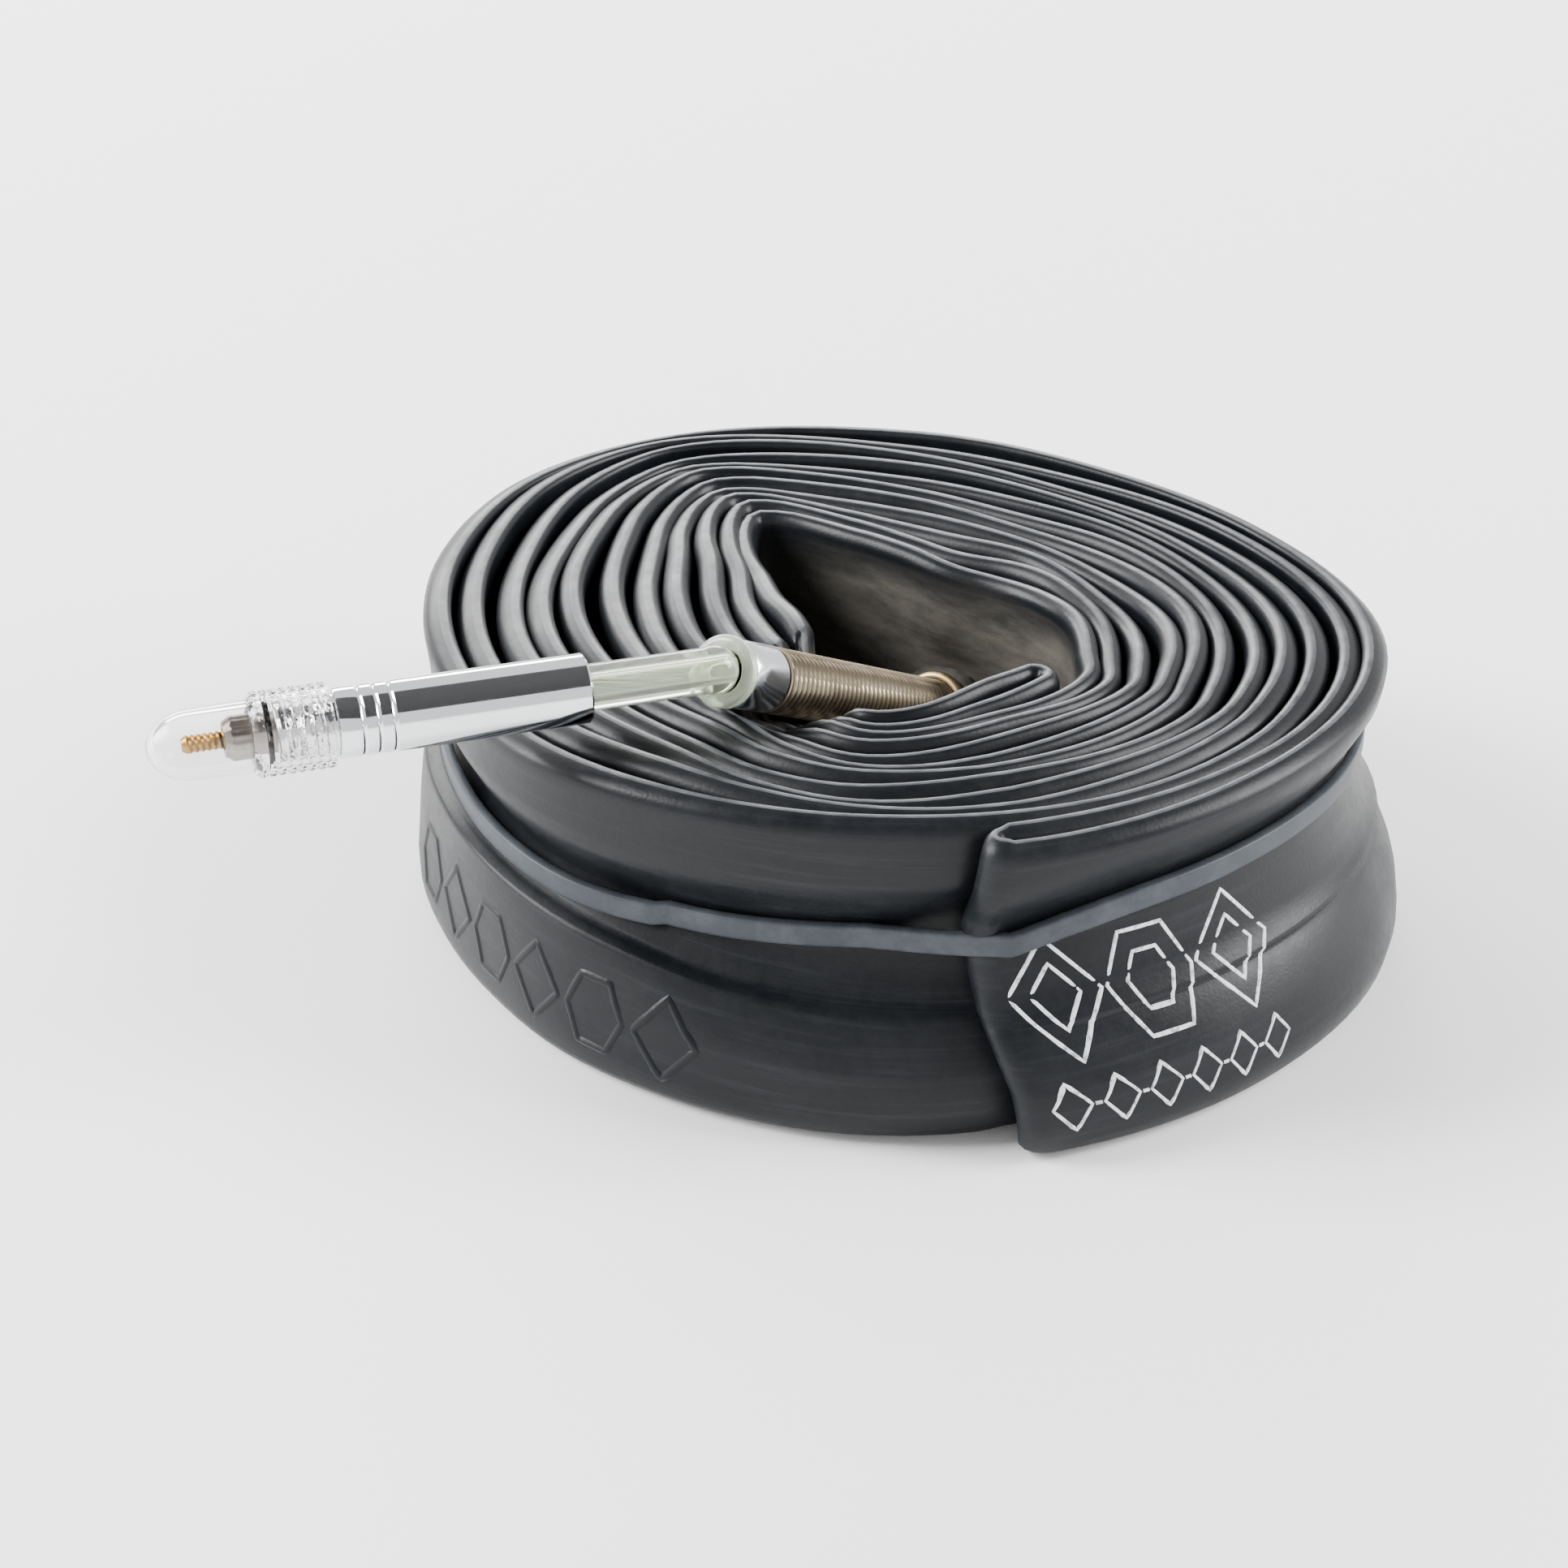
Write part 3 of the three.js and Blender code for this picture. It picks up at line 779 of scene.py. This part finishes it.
def thread_groove_shade(material):
    """Painted shade in the stem's thread grooves, found by how far a point lies from the stem's axis."""
    tree = material.node_tree
    shader = tree.nodes["Principled BSDF"]
    turn = STEM_AXIS.to_track_quat("Z", "Y").to_matrix().inverted()
    local = add_node(tree, "ShaderNodeMapping", Vector=tree.nodes.new("ShaderNodeTexCoord").outputs["Object"])
    local.inputs["Rotation"].default_value = turn.to_euler()
    local.inputs["Location"].default_value = -(turn @ STEM_BASE)
    flat = add_node(tree, "ShaderNodeMapping", Vector=local.outputs["Vector"])
    flat.inputs["Scale"].default_value = (1, 1, 0)
    reach = tree.nodes.new("ShaderNodeVectorMath")
    reach.operation = "LENGTH"
    tree.links.new(flat.outputs["Vector"], reach.inputs[0])
    # painted shade: the thread's grooves darken to near black towards their roots
    deep = ranged(tree, reach.outputs["Value"], 2.92 * MM, 2.66 * MM, 0.0, 0.92)
    metal = shader.inputs["Base Color"].links[0].from_socket
    tree.links.new(mixed_colour(tree, deep, metal, (0.035, 0.026, 0.018)), shader.inputs["Base Color"])
    return material


STEM_METAL = metal_finish("stem_nickel", (0.56, 0.47, 0.34), (0.31, 0.24, 0.16), 0.24, 0.2, 420.0, 1.2e-5)
STEM_METAL = thread_groove_shade(STEM_METAL)
DUSTY_RUBBER = rubber_finish("dusty_rubber", (0.030, 0.028, 0.024), (0.075, 0.070, 0.060), 500.0, 0.5)
PALE_BRASS = metal_finish("pale_brass", (0.60, 0.47, 0.26), (0.30, 0.20, 0.09), 0.3, 0.2, 700.0, 1e-5)

place_piece(add_object("stem_thread", stem_shape(), STEM_METAL), "roll", "nickelled_brass", "threaded_stem")

washer_profile = [(3.1, 0.1), (3.6, 0.1), (3.8, 0.25), (3.8, 0.55), (3.6, 0.8), (3.3, 0.9), (3.1, 0.85)]
washer = add_object("washer", turned_piece(washer_profile, STEM_BASE, STEM_AXIS), PALE_BRASS)
place_piece(washer, "roll", "plain_brass", "base_washer")

patch_profile = [(3.3, -1.6), (4.9, -1.6), (4.8, -1.0), (4.4, -0.5), (3.9, -0.25), (3.3, -0.2)]
patch = add_object("patch", turned_piece(patch_profile, STEM_BASE, STEM_AXIS), DUSTY_RUBBER)
place_piece(patch, "roll", "tube_rubber", "valve_patch")

# ---------------------------------------------------------------- the swivel
# A chromed collar turns on the stem's end. A clear moulded ring closes its socket, and the clear
# link's ball sits in it.


def chrome_finish(name, rough):
    """Bright chrome plate with a faint haze from handling."""
    material, tree, shader = new_finish(name)
    place = tree.nodes.new("ShaderNodeTexCoord").outputs["Object"]
    haze = placed_group(tree, METAL_WEAR, Vector=place, Stain_Scale=260.0)["Haze"]
    plate = mixed_colour(tree, haze, (0.80, 0.82, 0.84), (0.70, 0.72, 0.74))
    tree.links.new(plate, shader.inputs["Base Color"])
    tree.links.new(ranged(tree, haze, 0.35, 0.75, rough, rough + 0.1), shader.inputs["Roughness"])
    shader.inputs["Metallic"].default_value = 1.0
    return material


def flow_group():
    """Soft streaks, as plastic has from flowing into its mould."""
    group, inside, outside = new_group("plastic_flow", {"Vector": "Vector"}, {"Flow": "Float"})
    flow = add_node(group, "ShaderNodeTexNoise", Vector=inside["Vector"], Scale=300.0, Detail=4.0)
    group.links.new(flow.outputs["Fac"], outside["Flow"])
    return group


PLASTIC_FLOW = flow_group()


def clear_finish(name, colour, streak, rough, clear):
    """Clear or milky moulded plastic with faint flow streaks and surface ripples."""
    material, tree, shader = new_finish(name)
    place = tree.nodes.new("ShaderNodeTexCoord").outputs["Object"]
    flow = placed_group(tree, PLASTIC_FLOW, Vector=place)["Flow"]
    tree.links.new(mixed_colour(tree, flow, colour, streak), shader.inputs["Base Color"])
    tree.links.new(ranged(tree, flow, 0, 1, rough, rough + 0.08), shader.inputs["Roughness"])
    bump = add_node(tree, "ShaderNodeBump", Strength=0.3, Distance=2e-5, Height=flow)
    tree.links.new(bump.outputs["Normal"], shader.inputs["Normal"])
    shader.inputs["Transmission Weight"].default_value = clear
    shader.inputs["IOR"].default_value = 1.46
    return material


CHROME = chrome_finish("chrome_plate", 0.035)
SATIN_CHROME = chrome_finish("satin_chrome", 0.17)
CLEAR_LINK = clear_finish("clear_link", (0.90, 0.98, 0.76), (0.97, 1.0, 0.92), 0.04, 0.87)
CLEAR_RING = clear_finish("milky_ring", (0.88, 0.94, 0.80), (0.80, 0.88, 0.72), 0.12, 0.74)
CLEAR_CAP = clear_finish("clear_cap", (0.98, 0.95, 0.95), (0.99, 0.98, 0.98), 0.02, 1.0)

collar_profile = [
    (2.55, 32.1), (2.85, 32.1), (3.0, 32.25), (3.0, 33.5), (3.0, 35.5), (3.0, 37.2), (2.85, 37.5),
    (2.55, 37.5),
]
collar = add_object("collar", turned_piece(collar_profile, STEM_BASE, STEM_AXIS), SATIN_CHROME)
place_piece(collar, "swivel", "chrome", "swivel_collar")

ring_profile = [
    (1.7, 37.65), (3.0, 37.65), (3.15, 37.8), (3.2, 38.1), (3.2, 38.5), (3.1, 38.75), (2.85, 38.9),
    (2.5, 38.95), (2.25, 38.9), (2.1, 38.8), (1.95, 38.4),
]
ring = add_object("ring", turned_piece(ring_profile, STEM_BASE, STEM_AXIS), CLEAR_RING)
place_piece(ring, "swivel", "clear_plastic", "socket_ring")

# ---------------------------------------------------------------- the link
# A clear tube with a ball at one end, which tilts in the socket. Its other end plugs into the
# barrel over a seal, and the air runs through its bore.

BARREL_AXIS = Vector(joint_named("nut_turn")["axis"]).normalized()
BALL_RADIUS = 2.15
LINK_RADIUS = 2.0

SEAL_RUBBER = rubber_finish("seal_rubber", (0.012, 0.013, 0.012), (0.02, 0.021, 0.02), 400.0, 0.4)


def link_profile():
    bore = 0.9
    start, end = math.asin(bore / BALL_RADIUS), math.pi - math.asin(LINK_RADIUS / BALL_RADIUS)
    profile = [(bore, 14.4)]
    for i in range(13):
        a = start + (end - start) * i / 12
        profile.append((BALL_RADIUS * math.sin(a), -BALL_RADIUS * math.cos(a)))
    profile += [(LINK_RADIUS, 12.5), (1.6, 12.6), (1.6, 13.6), (LINK_RADIUS, 13.7)]
    return profile + [(LINK_RADIUS, 14.2), (1.8, 14.4)]


link = add_object("link", turned_piece(link_profile(), BALL_CENTRE, BARREL_AXIS), CLEAR_LINK)
place_piece(link, "valve", "clear_plastic", "swivel_link")
seal_profile = [(1.75, 12.75), (1.95, 12.7), (2.2, 12.9), (2.2, 13.3), (1.95, 13.5), (1.75, 13.45)]
seal = add_object("seal", turned_piece(seal_profile, BALL_CENTRE, BARREL_AXIS), SEAL_RUBBER)
place_piece(seal, "valve", "seal_rubber", "link_seal")

# ---------------------------------------------------------------- the barrel
# A turned and chromed sleeve with three grip grooves near its cap end, then the cap's coarse thread.

BARREL_START = 11.2
BARREL_END = 32.6
CAP_THREAD_END = 37.6


def barrel_profile():
    profile = [(2.3, BARREL_START), (2.8, BARREL_START), (3.0, BARREL_START + 0.2)]
    for i in range(3):
        at = BARREL_END - 4.9 + 1.3 * i
        profile += [(3.0, at), (2.92, at + 0.08), (2.86, at + 0.22), (2.92, at + 0.36), (3.0, at + 0.44)]
    profile += [(3.0, BARREL_END - 0.2), (2.85, BARREL_END), (2.6, BARREL_END)]
    profile += threaded_stretch(2.6, BARREL_END + 0.1, CAP_THREAD_END - 0.2, 1.05)
    profile += [(2.35, CAP_THREAD_END), (2.0, CAP_THREAD_END)]
    return profile + [(2.0, 18), (1.2, 18), (1.2, 15.6), (2.3, 15.6)]


barrel_thread = thread_ripple(BARREL_END + 0.1, CAP_THREAD_END - 0.2, 1.05, 0.35, 2.6)


def barrel_ripple(angle, height, radius):
    return barrel_thread(angle, height, radius) if radius < 2.7 and radius > 2.4 else 0.0


barrel_shape = turned_piece(barrel_profile(), BALL_CENTRE, BARREL_AXIS, barrel_ripple)
place_piece(add_object("sleeve", barrel_shape, CHROME), "valve", "chrome", "barrel")

# ---------------------------------------------------------------- the valve core
# A small turned body in the barrel's end. A brass pin runs through it to a rubber face inside, and
# a knurled nut on the pin's thread locks the valve shut.

CORE_END = 39.1
NUT_END = 41.7
PIN_END = 45.1
NICKEL = metal_finish("nickelled_brass", (0.31, 0.29, 0.26), (0.18, 0.16, 0.13), 0.26, 0.22, 420.0, 1.2e-5)
BRASS = metal_finish("plain_brass", (0.40, 0.23, 0.055), (0.22, 0.12, 0.03), 0.26, 0.2, 700.0, 1e-5)

core_profile = [
    (0.95, 22.4), (1.7, 22.4), (1.7, 24), (1.2, 24), (1.2, 25), (1.7, 25), (1.7, CORE_END - 0.2),
    (1.5, CORE_END), (0.95, CORE_END),
]


def core_flats(angle, height, radius):
    """Two flats for a core key, on the part that stands out of the barrel."""
    if height < 37.8 or radius < 1.4:
        return 0.0
    return min(0.0, 1.35 / max(0.2, abs(math.cos(angle))) - radius)


core = add_object("core", turned_piece(core_profile, BALL_CENTRE, BARREL_AXIS, core_flats), NICKEL)
place_piece(core, "valve", "nickelled_brass", "core_body")


def nut_knurl(angle, height, radius):
    return -0.10 * (0.5 + 0.5 * math.cos(18 * angle)) if radius > 1.8 else 0.0


nut_profile = [
    (0.95, CORE_END + 0.15), (1.5, CORE_END + 0.15), (1.9, CORE_END + 0.4), (1.9, 40.0), (1.9, 40.6),
    (1.9, NUT_END - 0.6), (1.75, NUT_END - 0.45), (1.45, NUT_END), (0.95, NUT_END),
]
nut = add_object("nut", turned_piece(nut_profile, BALL_CENTRE, BARREL_AXIS, nut_knurl), NICKEL)
place_piece(nut, "nut", "nickelled_brass", "lock_nut")

pin_profile = [(0, 20), (0.7, 20), (0.8, 20.2)] + threaded_stretch(0.8, 36.5, PIN_END - 0.4, 0.5)
pin_profile += [(0.5, PIN_END), (0, PIN_END)]
pin_ripple = thread_ripple(36.5, PIN_END - 0.4, 0.5, 0.16, 0.8)
pin = add_object("pin", turned_piece(pin_profile, BALL_CENTRE, BARREL_AXIS, pin_ripple), BRASS)
place_piece(pin, "pin", "plain_brass", "core_pin")

# The hidden seals and the cup keep the shapes they come with, and only take their finish.
for node, finish in (("collar_seal", SEAL_RUBBER), ("core_gasket", SEAL_RUBBER), ("core_seal", SEAL_RUBBER),
                     ("seal_cup", BRASS)):
    frame["nodes"][node].data.materials.clear()
    frame["nodes"][node].data.materials.append(finish)

# ---------------------------------------------------------------- the dust cap
# A thin clear moulding that screws over the barrel's thread: a knurled grip, then a domed end.

CAP_MOUTH = BARREL_END + 0.3
GRIP_END = 39.4
CAP_END = 48.0
DOME_RADIUS = 2.95
DOME_START = CAP_END - DOME_RADIUS * 1.25
CAP_WALL = 0.55


def dome(radius, height, start_angle, end_angle):
    angles = [start_angle + (end_angle - start_angle) * i / 12 for i in range(13)]
    return [(radius * math.cos(a), DOME_START + height * math.sin(a)) for a in angles]


def cap_profile():
    quarter = math.pi / 2
    profile = [(0, DOME_START + DOME_RADIUS * 1.25 - CAP_WALL)]
    profile += dome(DOME_RADIUS - CAP_WALL, DOME_RADIUS * 1.25 - CAP_WALL, quarter, 0)[1:]
    profile += [(2.4, GRIP_END - 1), (2.9, GRIP_END - 1.4), (2.9, CAP_MOUTH), (3.45, CAP_MOUTH)]
    grip = [(3.6, CAP_MOUTH + 0.15 + (GRIP_END - CAP_MOUTH - 0.4) * i / 48) for i in range(49)]
    profile += grip + [(3.3, GRIP_END), (3.05, GRIP_END + 0.15)]
    return profile + dome(DOME_RADIUS, DOME_RADIUS * 1.25, 0, quarter)[:-1] + [(0, CAP_END)]


def grip_knurl(angle, height, radius):
    """Raised blocks: rings cut across lengthwise ribs."""
    if radius < 3.55:
        return 0.0
    rib = 0.5 + 0.5 * math.cos(24 * angle)
    ring_cut = 0.5 + 0.5 * math.cos(math.tau * (height - CAP_MOUTH) / 0.8)
    return -0.16 * max(rib ** 2, ring_cut ** 2)


cap = add_object("cap", turned_piece(cap_profile(), BALL_CENTRE, BARREL_AXIS, grip_knurl), CLEAR_CAP)
place_piece(cap, "cap", "clear_plastic", "dust_cap")
